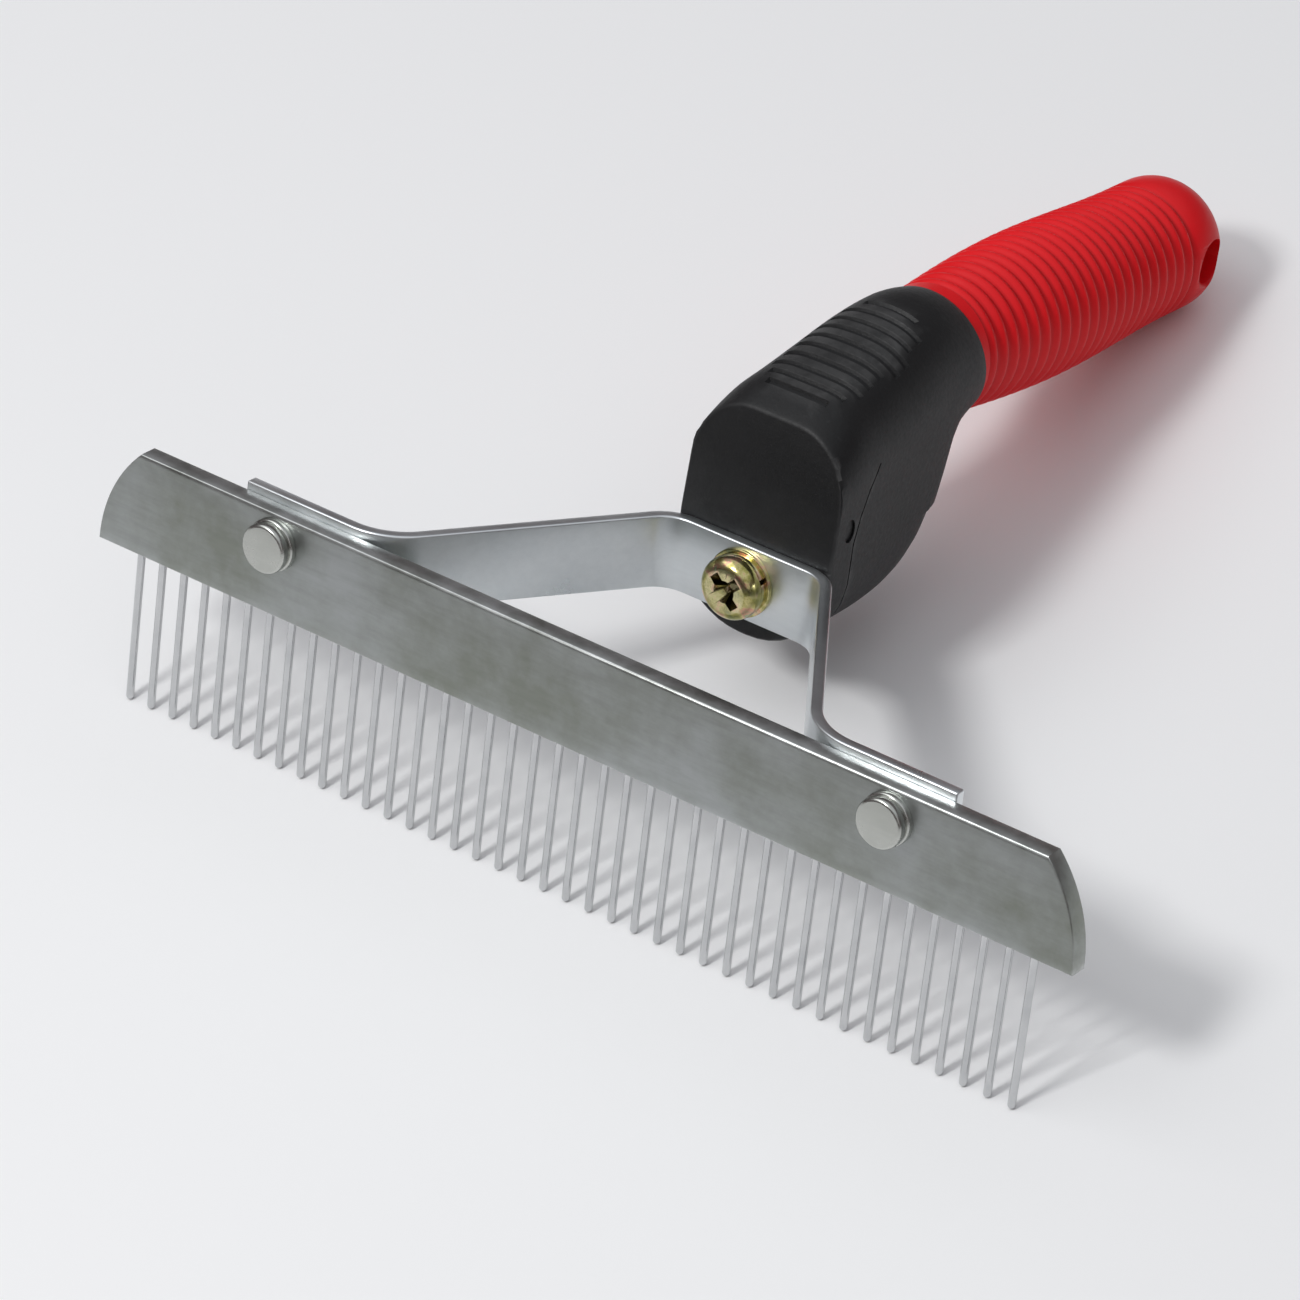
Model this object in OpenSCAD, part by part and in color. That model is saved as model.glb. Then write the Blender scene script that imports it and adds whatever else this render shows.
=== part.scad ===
// Dematting comb: a row of steel pins in a flat bar, carried by a bent steel
// bracket on a black handle with a ribbed rubber grip.
// It lies as it does on a table, on its tooth tips and the end of its grip.
// Each sub-part is drawn in the bar's own frame, where X runs along the bar,
// Y runs back to the grip, Z is up and the bar's bottom front edge is at 0,
// and at_rest() then lays the whole comb down.

/* [Teeth] */
// Number of teeth in the row
tooth_count = 40; // [30:2:40]
// Distance from one tooth to the next
tooth_pitch = 3.9; // [3.7:0.1:3.9]
// Diameter of a tooth
tooth_d = 1.15; // [0.9:0.05:1.4]
// Length of a tooth below the bar
tooth_len = 24.2; // [18:0.2:28]
// Length of a tooth that is pressed into the bar
tooth_seat = 7; // [4:1:7]

/* [Bar] */
// Length of the bar along its bottom edge
bar_len = 165.5; // [162:0.5:175]
// Length of the bar along its top edge
bar_top_len = 153; // [140:1:155]
// Height of the bar
bar_h = 15.6; // [14:0.1:18]
// Thickness of the bar
bar_t = 3.2; // [2.5:0.1:4.5]

/* [Bracket] */
// Height of the bracket's strip
strip_h = 11.4; // [10:0.2:14]
// Thickness of the bracket's strip
strip_t = 1.8; // [1.5:0.1:2.5]
// Height of the strip's middle above the bar's bottom edge
strip_z = 11.1; // [10:0.1:12]
// Length of the bracket from the end of one foot to the other
foot_len = 120; // [112:1:130]
// Distance between the two corners where the feet turn into the arms
foot_corner = 73; // [60:1:80]
// Distance between the two corners where the arms turn into the bridge
bridge_corner = 26; // [24:1:34]
// Clear depth between the bar's back and the bridge
gap_depth = 36.9; // [32:0.1:42]
// Bend radius at the feet
foot_bend_r = 10; // [6:0.5:12]
// Bend radius at the bridge
bridge_bend_r = 6; // [4:0.5:8]

/* [Fasteners] */
// Distance between the two rivets
rivet_spacing = 104; // [96:1:106]
// Diameter of a rivet's shank
rivet_d = 4; // [3:0.5:5]
// Diameter of a rivet's head
rivet_head_d = 7.4; // [6.5:0.1:8.5]
// Height of a rivet's head
rivet_head_h = 1.7; // [1.2:0.1:2.4]
// Thickness of the washer under a rivet's head
rivet_washer_t = 1.1; // [0.8:0.1:1.5]
// Diameter of the handle's clamping screw
screw_d = 5; // [4:0.5:5]
// Diameter of the screw's head
screw_head_d = 9.5; // [8.6:0.1:10]
// Height of the screw's head
screw_head_h = 2.7; // [2.4:0.1:3.4]
// Length of the screw under its head
screw_len = 24; // [20:1:26]

/* [Handle] */
// Width of the handle's block at its front face
block_w = 25.8; // [24:0.2:28]
// Height of the block's front face
block_h = 32.8; // [32:0.1:36]
// How far the block's front face leans back above the bracket, in degrees
front_lean = 5; // [1:1:8]
// Diameter of the handle's tang inside the grip
tang_d = 13; // [10:0.5:14]
// Length of the tang behind the front of the grip
tang_len = 52; // [40:1:54]

/* [Grip] */
// Radius of the grip at its front
grip_front_r = 9.7; // [9.4:0.1:10.4]
// Radius of the grip at its fullest
grip_full_r = 11.3; // [10.6:0.1:12]
// Radius of the grip just before its round end
grip_end_r = 10.4; // [9.8:0.1:11]
// Length from the front of the grip to where its end starts to round
grip_len = 62.2; // [60:0.1:66]
// Number of ribs around the grip
rib_count = 22; // [12:1:22]
// Distance from one rib to the next
rib_pitch = 2.55; // [2.2:0.05:2.55]
// Depth of the grooves between the ribs
rib_depth = 0.7; // [0.3:0.1:0.9]
// Diameter of the hanging hole through the end of the grip
hang_hole_d = 7; // [5:0.5:7]

/* [Hidden] */
$fn = 64;
tiny = 0.01;
// Clearance around a moulded or pressed piece, on the radius
seat_gap = 0.02;
mould_gap = 0.1;

// Teeth
tooth_r = tooth_d / 2;
tooth_names = [for (i = [1:tooth_count]) str("tooth_", i < 10 ? "0" : "", i)];
function tooth_x(i) = (i - (tooth_count + 1) / 2) * tooth_pitch;

// Bar: each end is one arc, upright where it meets the bottom edge
end_setback = (bar_len - bar_top_len) / 2;
end_arc_r = (bar_h * bar_h + end_setback * end_setback) / (2 * end_setback);

// Bracket: the middle of the strip runs foot, arm, bridge, arm, foot
foot_y = bar_t + strip_t / 2;
bridge_y = foot_y + gap_depth;
arm_angle = atan2(gap_depth, (foot_corner - bridge_corner) / 2);
foot_arc_x = foot_corner / 2 + foot_bend_r * tan(arm_angle / 2);
bridge_arc_x = bridge_corner / 2 - bridge_bend_r * tan(arm_angle / 2);
bend_steps = 12;
bridge_front = bridge_y - strip_t / 2;
bridge_back = bridge_y + strip_t / 2;

// Fasteners
flat_washer_d = 10.3;
flat_washer_t = 0.8;
spring_washer_d = 9.3;
spring_washer_t = 1.1;
spring_washer_cut = 0.9;
rivet_washer_d = 7.8;
rivet_tail_d = 6.4;
rivet_tail_h = 1.4;
nut_flats = 8;
nut_h = 4;
nut_gap = 0.15;
nut_y = bridge_back + 10;
screw_seat = bridge_front - flat_washer_t - spring_washer_t;

// Handle: slices of the block and neck, from the front face back to the
// grip. Each is its top y and z, its bottom y and z, its half width, and how
// square its upper and lower halves are, where 2 is an ellipse.
block_bottom = strip_z - 9.1;
block_top = block_bottom + block_h;
lean_from = strip_z + strip_h / 2 + 0.6;
grip_front = [82.3, 33.2];
grip_lean = 8;
grip_drop = 2.6;
neck_end_r = grip_front_r - 0.25;
neck_end_half = neck_end_r / cos(grip_lean + grip_drop);
neck_top = grip_front + neck_end_half * [-sin(grip_lean), cos(grip_lean)];
neck_bottom = grip_front - neck_end_half * [-sin(grip_lean), cos(grip_lean)];
slices = [
    [bridge_back, block_top, bridge_back, block_bottom, block_w / 2, 3, 2.1],
    [47.5, 38.1, 50, 1.2, 12.6, 2.9, 2.1],
    [53.5, 39.7, 59, 0.9, 12.1, 2.8, 2.1],
    [60, 41.6, 67.2, 2, 11.7, 2.7, 2.2],
    [66, 43, 72.4, 5.2, 11.3, 2.6, 2.2],
    [71, 43.7, 74.2, 10.9, 10.8, 2.4, 2.1],
    [75.5, 43.8, 75, 16.8, 10.3, 2.3, 2],
    [79, 43.3, 77.5, 21.3, 9.9, 2.1, 2],
    [neck_top[0], neck_top[1], neck_bottom[0], neck_bottom[1], neck_end_r, 2, 2]
];
slice_steps = 4;
slice_sides = 48;

// Grip
rib_start = 1.4;
rib_end = rib_start + rib_count * rib_pitch;
grip_full_at = 27;
end_round_r = 7.2;
end_dome_r = 14;
end_dome_half = asin((grip_end_r - end_round_r) / (end_dome_r - end_round_r));
end_dome_at = grip_len - (end_dome_r - end_round_r) * cos(end_dome_half);
tang_r = tang_d / 2;
hole_at = 63.6;

// Lie of the comb on a table: the tooth tips and the rounding of the grip's
// end touch the same level
function on_grip(along, out) =
    grip_front + along * [cos(grip_drop), -sin(grip_drop)] + out * [sin(grip_drop), cos(grip_drop)];
tip_centre = [bar_t / 2, tooth_r - tooth_len];
end_round_centre = on_grip(grip_len, end_round_r - grip_end_r);
reach = end_round_centre - tip_centre;
rest_tilt = acos((end_round_r - tooth_r) / norm(reach)) - atan2(reach[0], reach[1]);
function rest_y(p) = p[0] * cos(rest_tilt) + p[1] * sin(rest_tilt);
function rest_z(p) = p[1] * cos(rest_tilt) - p[0] * sin(rest_tilt);
rest_lift = tooth_r - rest_z(tip_centre);
rest_front = rest_y(tip_centre) - tooth_r;
rest_back = rest_y(on_grip(end_dome_at, 0)) + end_dome_r;
rest_shift = -(rest_front + rest_back) / 2;

// Lay the comb down on its tooth tips and grip end, with the middle of its
// footprint at the origin
module at_rest() {
    translate([0, rest_shift, rest_lift])
        rotate([-rest_tilt, 0, 0])
            children();
}

// A cylinder along Y, from y towards the back
module rod_y(r, h, x, y, z) {
    translate([x, y, z])
        rotate([-90, 0, 0])
            cylinder(r = r, h = h);
}

// The flat bar that holds the teeth
module comb_bar() {
    color([0.60, 0.62, 0.60])
        at_rest()
            difference() {
                translate([0, bar_t, 0])
                    rotate([90, 0, 0])
                        linear_extrude(bar_t)
                            bar_outline();
                for (i = [1:tooth_count])
                    translate([tooth_x(i), bar_t / 2, -tiny])
                        cylinder(r = tooth_r + seat_gap, h = tooth_seat + tiny);
                for (side = [-1, 1])
                    rod_y(rivet_d / 2 + seat_gap, bar_t + 2, side * rivet_spacing / 2, -1, strip_z);
            }
}

// The bar's front outline, with an arc at each end
module bar_outline() {
    intersection() {
        translate([-bar_len / 2, 0])
            square([bar_len, bar_h]);
        union() {
            translate([-bar_len / 2 + end_arc_r, -1])
                square([bar_len - 2 * end_arc_r, bar_h + 2]);
            for (side = [-1, 1])
                translate([side * (bar_len / 2 - end_arc_r), 0])
                    circle(r = end_arc_r, $fn = 180);
        }
    }
}

// One straight steel pin with round ends
module tooth(i) {
    color([0.78, 0.79, 0.80])
        at_rest()
            translate([tooth_x(i), bar_t / 2, 0])
                rotate_extrude($fn = 32)
                    tooth_outline();
}

// Half of a tooth's section, from its round tip to its top in the bar
module tooth_outline() {
    polygon(concat(
        [[0, tooth_seat - 0.3], [0, -tooth_len]],
        [for (a = [-75:15:0]) [tooth_r * cos(a), tooth_r - tooth_len + tooth_r * sin(a)]],
        [[tooth_r, tooth_seat - 0.3]]
    ));
}

// One side of the strip's right half, at a distance from its middle line,
// from the end of the foot to the bridge
function strip_side(d) = concat(
    [[foot_len / 2, foot_y + d]],
    [for (i = [0:bend_steps])
        let (a = -90 - arm_angle * i / bend_steps)
        [foot_arc_x, foot_y + foot_bend_r] + (foot_bend_r - d) * [cos(a), sin(a)]],
    [for (i = [0:bend_steps])
        let (a = 90 - arm_angle + arm_angle * i / bend_steps)
        [bridge_arc_x, bridge_y - bridge_bend_r] + (bridge_bend_r + d) * [cos(a), sin(a)]]
);

function mirrored(points) = [for (i = [len(points) - 1:-1:0]) [-points[i][0], points[i][1]]];
function reversed(points) = [for (i = [len(points) - 1:-1:0]) points[i]];

// The bent strip that joins the bar to the handle
module bracket() {
    back = strip_side(strip_t / 2);
    front = strip_side(-strip_t / 2);
    color([0.72, 0.75, 0.78])
        at_rest()
            difference() {
                translate([0, 0, strip_z - strip_h / 2])
                    linear_extrude(strip_h)
                        polygon(concat(back, mirrored(back), reversed(mirrored(front)), reversed(front)));
                rod_y(screw_d / 2 + 0.25, strip_t + 2, 0, bridge_front - 1, strip_z);
                for (side = [-1, 1])
                    rod_y(rivet_d / 2 + seat_gap, strip_t + 2, side * rivet_spacing / 2, bar_t - 1, strip_z);
            }
}

// Half of a rivet's section: flat head with a rounded rim, shank and formed tail
module rivet_outline() {
    head_r = rivet_head_d / 2;
    rim = 0.5;
    head_front = -rivet_washer_t - rivet_head_h;
    tail_front = bar_t + strip_t;
    tail_r = rivet_tail_d / 2;
    polygon(concat(
        [[0, head_front]],
        [for (a = [-90:30:0]) [head_r - rim + rim * cos(a), head_front + rim + rim * sin(a)]],
        [[head_r, -rivet_washer_t], [rivet_d / 2, -rivet_washer_t], [rivet_d / 2, tail_front]],
        [[tail_r, tail_front]],
        [for (a = [0:30:90]) [tail_r - rim + rim * cos(a), tail_front + rivet_tail_h - rim + rim * sin(a)]],
        [[0, tail_front + rivet_tail_h]]
    ));
}

// The two rivets through the bar and the bracket's feet
module rivets() {
    color([0.70, 0.72, 0.70])
        at_rest()
            for (side = [-1, 1])
                translate([side * rivet_spacing / 2, 0, strip_z])
                    rotate([-90, 0, 0])
                        rotate_extrude()
                            rivet_outline();
}

// The two washers under the rivet heads
module rivet_washers() {
    color([0.62, 0.64, 0.63])
        at_rest()
            for (side = [-1, 1])
                difference() {
                    rod_y(rivet_washer_d / 2, rivet_washer_t, side * rivet_spacing / 2,
                          -rivet_washer_t, strip_z);
                    rod_y(rivet_d / 2 + seat_gap, rivet_washer_t + 2, side * rivet_spacing / 2,
                          -rivet_washer_t - 1, strip_z);
                }
}

// Half of the screw's section: pan head, then a plain shank with a pointed end
module screw_outline() {
    head_r = screw_head_d / 2;
    dome = 1.9;
    shank_r = screw_d / 2;
    polygon(concat(
        [[0, -screw_head_h]],
        [for (a = [-90:15:0]) [head_r - dome + dome * cos(a), dome - screw_head_h + dome * sin(a)]],
        [[head_r, 0], [shank_r, 0], [shank_r, screw_len - 1], [shank_r - 1, screw_len], [0, screw_len]]
    ));
}

// The cross-headed screw that clamps the bracket to the handle
module clamp_screw() {
    slot_w = 1.35;
    slot_len = 5.9;
    slot_depth = 1.9;
    color([0.74, 0.66, 0.36])
        at_rest()
            translate([0, screw_seat, strip_z])
                difference() {
                    rotate([-90, 0, 0])
                        rotate_extrude()
                            screw_outline();
                    for (turn = [45, 135])
                        rotate([0, turn, 0])
                            translate([-slot_len / 2, -screw_head_h - 1, -slot_w / 2])
                                cube([slot_len, slot_depth + 1, slot_w]);
                    rotate([-90, 0, 0])
                        translate([0, 0, -screw_head_h - tiny])
                            cylinder(r1 = 1.35, r2 = 0.5, h = slot_depth + 0.4);
                }
}

// The split lock washer under the screw's head
module spring_washer() {
    color([0.66, 0.60, 0.36])
        at_rest()
            difference() {
                rod_y(spring_washer_d / 2, spring_washer_t, 0, screw_seat, strip_z);
                rod_y(screw_d / 2 + 0.1, spring_washer_t + 2, 0, screw_seat - 1, strip_z);
                translate([0, screw_seat + spring_washer_t / 2, strip_z])
                    rotate([0, -35, 0])
                        rotate([0, 0, 20])
                            translate([0, -5, -spring_washer_cut / 2])
                                cube([spring_washer_d, 10, spring_washer_cut]);
            }
}

// The plain washer against the bridge
module flat_washer() {
    color([0.70, 0.64, 0.40])
        at_rest()
            difference() {
                rod_y(flat_washer_d / 2, flat_washer_t, 0, bridge_front - flat_washer_t, strip_z);
                rod_y(screw_d / 2 + 0.15, flat_washer_t + 2, 0, bridge_front - flat_washer_t - 1, strip_z);
            }
}

// A hexagonal prism along Y, with a flat face up
module hex_y(flats, h, y) {
    translate([0, y, strip_z])
        rotate([-90, 0, 0])
            cylinder(r = flats / 2 / cos(30), h = h, $fn = 6);
}

// The nut moulded into the handle's block
module captive_nut() {
    color([0.66, 0.67, 0.66])
        at_rest()
            difference() {
                hex_y(nut_flats, nut_h, nut_y);
                rod_y(screw_d / 2 + seat_gap, nut_h + 2, 0, nut_y - 1, strip_z);
            }
}

// A smooth curve through four values, at t from the second to the third
function smooth(a, b, c, d, t) =
    b + 0.5 * t * (c - a + t * (2 * a - 5 * b + 4 * c - d + t * (3 * (b - c) + d - a)));

// The handle's slice at a place between the listed ones
function slice_at(s) =
    let (last = len(slices) - 1, i = min(floor(s), last - 1), t = s - i)
    smooth(slices[max(i - 1, 0)], slices[i], slices[i + 1], slices[min(i + 2, last)], t);

// One power of a sine or cosine that keeps its sign
function rounded(v, power) = sign(v) * pow(abs(v), 2 / power);

// The points around one slice
function slice_ring(s) =
    let (c = slice_at(s),
         mid = [(c[0] + c[2]) / 2, (c[1] + c[3]) / 2],
         half = [(c[0] - c[2]) / 2, (c[1] - c[3]) / 2])
    [for (k = [0:slice_sides - 1])
        let (a = 360 * k / slice_sides,
             power = sin(a) > 0 ? c[5] : c[6],
             x = c[4] * rounded(cos(a), power),
             up = mid + half * rounded(sin(a), power))
        [x, up[0], up[1]]];

// The solid block and neck, as one skin over its slices
module neck_solid() {
    rings = (len(slices) - 1) * slice_steps;
    n = slice_sides;
    points = [for (r = [0:rings]) each slice_ring(r / slice_steps)];
    walls = [for (r = [0:rings - 1], k = [0:n - 1])
        let (a = r * n + k, b = r * n + (k + 1) % n)
        each [[a, b, a + n], [b, b + n, a + n]]];
    caps = [[for (k = [n - 1:-1:0]) k], [for (k = [0:n - 1]) rings * n + k]];
    polyhedron(points = points, faces = concat(walls, caps), convexity = 4);
}

// Place a piece on the grip's axis, with +Z running back along it
module on_grip_axis() {
    translate([0, grip_front[0], grip_front[1]])
        rotate([-90 - grip_drop, 0, 0])
            children();
}

// The black block, neck and tang, with the front face cut back above the bracket
module handle_body() {
    lean_cut_t = 10;
    color([0.10, 0.10, 0.11])
        at_rest()
            difference() {
                union() {
                    neck_solid();
                    on_grip_axis()
                        translate([0, 0, -8])
                            cylinder(r = tang_r, h = tang_len + 8);
                }
                translate([-block_w, bridge_back, lean_from])
                    rotate([-front_lean, 0, 0])
                        translate([0, -lean_cut_t, 0])
                            cube([2 * block_w, lean_cut_t, block_h]);
                rod_y(screw_d / 2 + 0.15, screw_len + 2, 0, bridge_back - 1, strip_z);
                hex_y(nut_flats + 2 * nut_gap, nut_h + 2 * nut_gap, nut_y - nut_gap);
            }
}

// The grip's radius, without its ribs, at a distance behind its front
function grip_r(s) =
    s < grip_full_at
    ? grip_front_r + (grip_full_r - grip_front_r) * sin(90 * max(s, -grip_full_at) / grip_full_at)
    : grip_end_r + (grip_full_r - grip_end_r)
        * (1 + cos(180 * min((s - grip_full_at) / (rib_end - grip_full_at), 1))) / 2;

// Half of the grip's section: a short plain collar, the ribs and a round end
module grip_outline() {
    crest = 0.3 * rib_pitch;
    polygon(concat(
        [[0, -8], [grip_r(-8), -8], [grip_r(-4), -4], [grip_r(0), 0]],
        [for (i = [0:rib_count - 1])
            let (s = rib_start + i * rib_pitch, r = grip_r(s + rib_pitch / 2))
            each [
                [r, s],
                [r - rib_depth, s + 0.16 * rib_pitch],
                [r - rib_depth, s + 0.3 * rib_pitch],
                [r - 0.15 * rib_depth, s + 0.42 * rib_pitch],
                [r, s + 0.42 * rib_pitch + crest / 2],
                [r, s + 0.42 * rib_pitch + crest]
            ]],
        [for (i = [0:8])
            let (a = (90 - end_dome_half) * i / 8)
            [grip_end_r - end_round_r + end_round_r * cos(a), grip_len + end_round_r * sin(a)]],
        [for (i = [5:-1:0])
            let (a = end_dome_half * i / 6)
            [end_dome_r * sin(a), end_dome_at + end_dome_r * cos(a)]]
    ));
}

// The ribbed rubber sleeve over the tang, with a hole to hang it by
module grip_sleeve() {
    color([0.85, 0.07, 0.09])
        at_rest()
            difference() {
                on_grip_axis()
                    difference() {
                        rotate_extrude($fn = 96)
                            grip_outline();
                        translate([0, 0, -20])
                            cylinder(r = tang_r + mould_gap, h = tang_len + 20 + mould_gap);
                        translate([-20, 0, hole_at])
                            rotate([0, 90, 0])
                                cylinder(r = hang_hole_d / 2, h = 40);
                    }
                translate([0, grip_front[0], grip_front[1]])
                    rotate([grip_lean, 0, 0])
                        translate([-20, mould_gap - 40, -20])
                            cube([40, 40, 40]);
            }
}

comb_bar();
bracket();
rivets();
rivet_washers();
clamp_screw();
spring_washer();
flat_washer();
captive_nut();
handle_body();
grip_sleeve();
for (i = [1:tooth_count])
    tooth(i);
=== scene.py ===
"""The looks of a dematting comb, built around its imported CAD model.

Each piece is drawn in millimetres in the bar's own frame, where X runs along the bar, Y runs back
to the grip, Z is up and the bar's bottom front edge is at 0. It is then laid down in the CAD
model's frame, in metres, where the comb rests on its tooth tips and the end of its grip.
"""
from math import asin, atan2, cos, pi, radians, sin, sqrt, tan

import bmesh
import bpy
from mathutils import Matrix, Vector


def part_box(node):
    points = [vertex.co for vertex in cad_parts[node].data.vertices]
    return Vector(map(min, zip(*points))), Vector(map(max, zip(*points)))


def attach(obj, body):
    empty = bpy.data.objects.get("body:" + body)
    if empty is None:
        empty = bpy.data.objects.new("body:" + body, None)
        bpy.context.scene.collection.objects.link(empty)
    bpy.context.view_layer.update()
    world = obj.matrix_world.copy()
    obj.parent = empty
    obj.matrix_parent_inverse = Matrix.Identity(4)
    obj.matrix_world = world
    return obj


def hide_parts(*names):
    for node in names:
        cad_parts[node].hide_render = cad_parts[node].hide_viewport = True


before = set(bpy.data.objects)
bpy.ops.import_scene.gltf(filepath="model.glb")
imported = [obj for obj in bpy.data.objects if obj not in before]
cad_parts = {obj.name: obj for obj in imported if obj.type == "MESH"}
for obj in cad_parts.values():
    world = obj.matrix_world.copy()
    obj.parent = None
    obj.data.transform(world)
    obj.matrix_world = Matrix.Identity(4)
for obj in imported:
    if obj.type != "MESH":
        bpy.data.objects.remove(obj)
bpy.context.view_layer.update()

# Teeth
TOOTH_COUNT = 40
TOOTH_PITCH = 3.9
TOOTH_R = 0.575
TOOTH_LEN = 24.2
TOOTH_TOP = 6.7
# Bar
BAR_LEN = 165.5
BAR_TOP_LEN = 153.0
BAR_H = 15.6
BAR_T = 3.2
# Bracket
STRIP_H = 11.4
STRIP_T = 1.8
STRIP_Z = 11.1
FOOT_LEN = 120.0
FOOT_CORNER = 73.0
BRIDGE_CORNER = 26.0
GAP_DEPTH = 36.9
FOOT_BEND_R = 10.0
BRIDGE_BEND_R = 6.0
FOOT_Y = BAR_T + STRIP_T / 2
BRIDGE_Y = FOOT_Y + GAP_DEPTH
BRIDGE_FRONT = BRIDGE_Y - STRIP_T / 2
BRIDGE_BACK = BRIDGE_Y + STRIP_T / 2
# Fasteners
RIVET_X = 52.0
RIVET_WASHER_T = 1.1
FLAT_WASHER_T = 0.8
SPRING_WASHER_T = 1.1
SCREW_SEAT = BRIDGE_FRONT - FLAT_WASHER_T - SPRING_WASHER_T
# Handle
BLOCK_W = 25.8
BLOCK_BOTTOM = STRIP_Z - 9.1
BLOCK_TOP = BLOCK_BOTTOM + 32.8
LEAN_FROM = STRIP_Z + STRIP_H / 2 + 0.6
FRONT_LEAN = radians(5)
TANG_R = 6.5
TANG_LEN = 52.0
# Grip
GRIP_FRONT = Vector((0, 82.3, 33.2))
GRIP_LEAN = radians(8)
GRIP_DROP = radians(2.6)
GRIP_FRONT_R = 9.7
GRIP_FULL_R = 11.3
GRIP_FULL_AT = 27.0
GRIP_END_R = 10.4
GRIP_LEN = 62.2
END_ROUND_R = 7.2
END_DOME_R = 14.0
RIB_COUNT = 22
RIB_PITCH = 2.55
RIB_START = 1.4
RIB_DEPTH = 0.7
RIB_END = RIB_START + RIB_COUNT * RIB_PITCH
HOLE_AT = 63.6
HOLE_R = 3.5


def lay_down_matrix():
    """Millimetres in the bar's frame to metres in the CAD frame, worked out from how a tooth lies."""
    low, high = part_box("tooth_01")
    r = TOOTH_R / 1000
    tilt = 0.0
    for _ in range(20):
        tilt = atan2(high.y - low.y - r * (1 + cos(tilt)), high.z - low.z - r * (1 + sin(tilt)))
    tip = Vector((0, low.y + r, low.z + r))
    tip_in_bar = Vector((0, BAR_T / 2, TOOTH_R - TOOTH_LEN)) / 1000
    turn = Matrix.Rotation(-tilt, 4, "X")
    return Matrix.Translation(tip - turn @ tip_in_bar) @ turn @ Matrix.Scale(0.001, 4)


LAY_DOWN = lay_down_matrix()
ALONG_Y = Matrix.Rotation(-pi / 2, 4, "X")
GRIP_AXIS = Matrix.Translation(GRIP_FRONT) @ Matrix.Rotation(-pi / 2 - GRIP_DROP, 4, "X")


# Ways of working

def arc(centre, r, start, end, steps):
    """Points (u, v) along an arc, from one angle to another, both in degrees."""
    angles = [radians(start + (end - start) * i / steps) for i in range(steps + 1)]
    return [(centre[0] + r * cos(a), centre[1] + r * sin(a)) for a in angles]


def draw_line(name, points):
    """Draw a chain of edges by extruding one vertex from place to place; it ends in edit mode."""
    bpy.ops.object.select_all(action="DESELECT")
    bpy.ops.mesh.primitive_plane_add(size=1)
    obj = bpy.context.object
    obj.name = name
    bpy.ops.object.mode_set(mode="EDIT")
    bpy.ops.mesh.select_mode(type="VERT")
    bpy.ops.mesh.select_all(action="SELECT")
    bpy.ops.mesh.merge(type="CENTER")
    bpy.ops.transform.translate(value=points[0])
    for before, after in zip(points, points[1:]):
        step = Vector(after) - Vector(before)
        bpy.ops.mesh.extrude_region_move(TRANSFORM_OT_translate={"value": step})
    bpy.ops.mesh.select_all(action="SELECT")
    return obj


def new_box(size, middle):
    """A box of a given size around a given middle; it ends in edit mode."""
    bpy.ops.object.select_all(action="DESELECT")
    bpy.ops.mesh.primitive_cube_add(size=1)
    bpy.ops.object.mode_set(mode="EDIT")
    bpy.ops.transform.resize(value=size)
    bpy.ops.transform.translate(value=middle)
    return bpy.context.object


def close_up():
    """Merge what touches, point the faces outwards and leave edit mode."""
    bpy.ops.mesh.select_all(action="SELECT")
    bpy.ops.mesh.remove_doubles(threshold=0.0005)
    bpy.ops.mesh.select_all(action="SELECT")
    bpy.ops.mesh.normals_make_consistent(inside=False)
    bpy.ops.object.mode_set(mode="OBJECT")


def turned(name, outline, steps=64):
    """Turn an outline of (radius, height) points once around Z."""
    obj = draw_line(name, [(r, 0, z) for r, z in outline])
    bpy.ops.mesh.spin(steps=steps, angle=2 * pi, center=(0, 0, 0), axis=(0, 0, 1))
    close_up()
    return obj


def pick(kind, test):
    """Select the vertices, edges or faces whose middle passes a test, in edit mode."""
    bpy.ops.mesh.select_all(action="DESELECT")
    bpy.ops.mesh.select_mode(type=kind)
    mesh = bmesh.from_edit_mesh(bpy.context.object.data)
    for v in (mesh.verts if kind == "VERT" else []):
        v.select_set(test(v.co))
    for e in (mesh.edges if kind == "EDGE" else []):
        e.select_set(test((e.verts[0].co + e.verts[1].co) / 2))
    for f in (mesh.faces if kind == "FACE" else []):
        f.select_set(test(f.calc_center_median()))
    mesh.select_flush_mode()
    bmesh.update_edit_mesh(bpy.context.object.data)


def only(obj):
    """Select one object and make it the active one."""
    bpy.ops.object.select_all(action="DESELECT")
    obj.select_set(True)
    bpy.context.view_layer.objects.active = obj


def apply_modifier(obj, kind, **settings):
    """Add a modifier with its settings and apply it at once."""
    only(obj)
    modifier = obj.modifiers.new(kind.title(), kind)
    for key, value in settings.items():
        setattr(modifier, key, value)
    bpy.ops.object.modifier_apply(modifier=modifier.name)


def cut_away(obj, cutter):
    """Cut one piece out of another and throw the cutter away."""
    apply_modifier(obj, "BOOLEAN", operation="DIFFERENCE", object=cutter, solver="EXACT")
    bpy.data.objects.remove(cutter)


def settle(obj, place=Matrix.Identity(4)):
    """Put a piece in its place and keep that place in its mesh."""
    only(obj)
    obj.matrix_world = LAY_DOWN @ place
    bpy.ops.object.transform_apply(location=True, rotation=True, scale=True)


def finish_piece(obj, material, nodes, crease=35):
    """Smooth a piece, give it its finish and let it stand for its CAD nodes."""
    only(obj)
    bpy.ops.object.shade_smooth_by_angle(angle=radians(crease))
    obj.data.materials.clear()
    obj.data.materials.append(material)
    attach(obj, "root")
    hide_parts(*nodes)
    return obj


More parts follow.
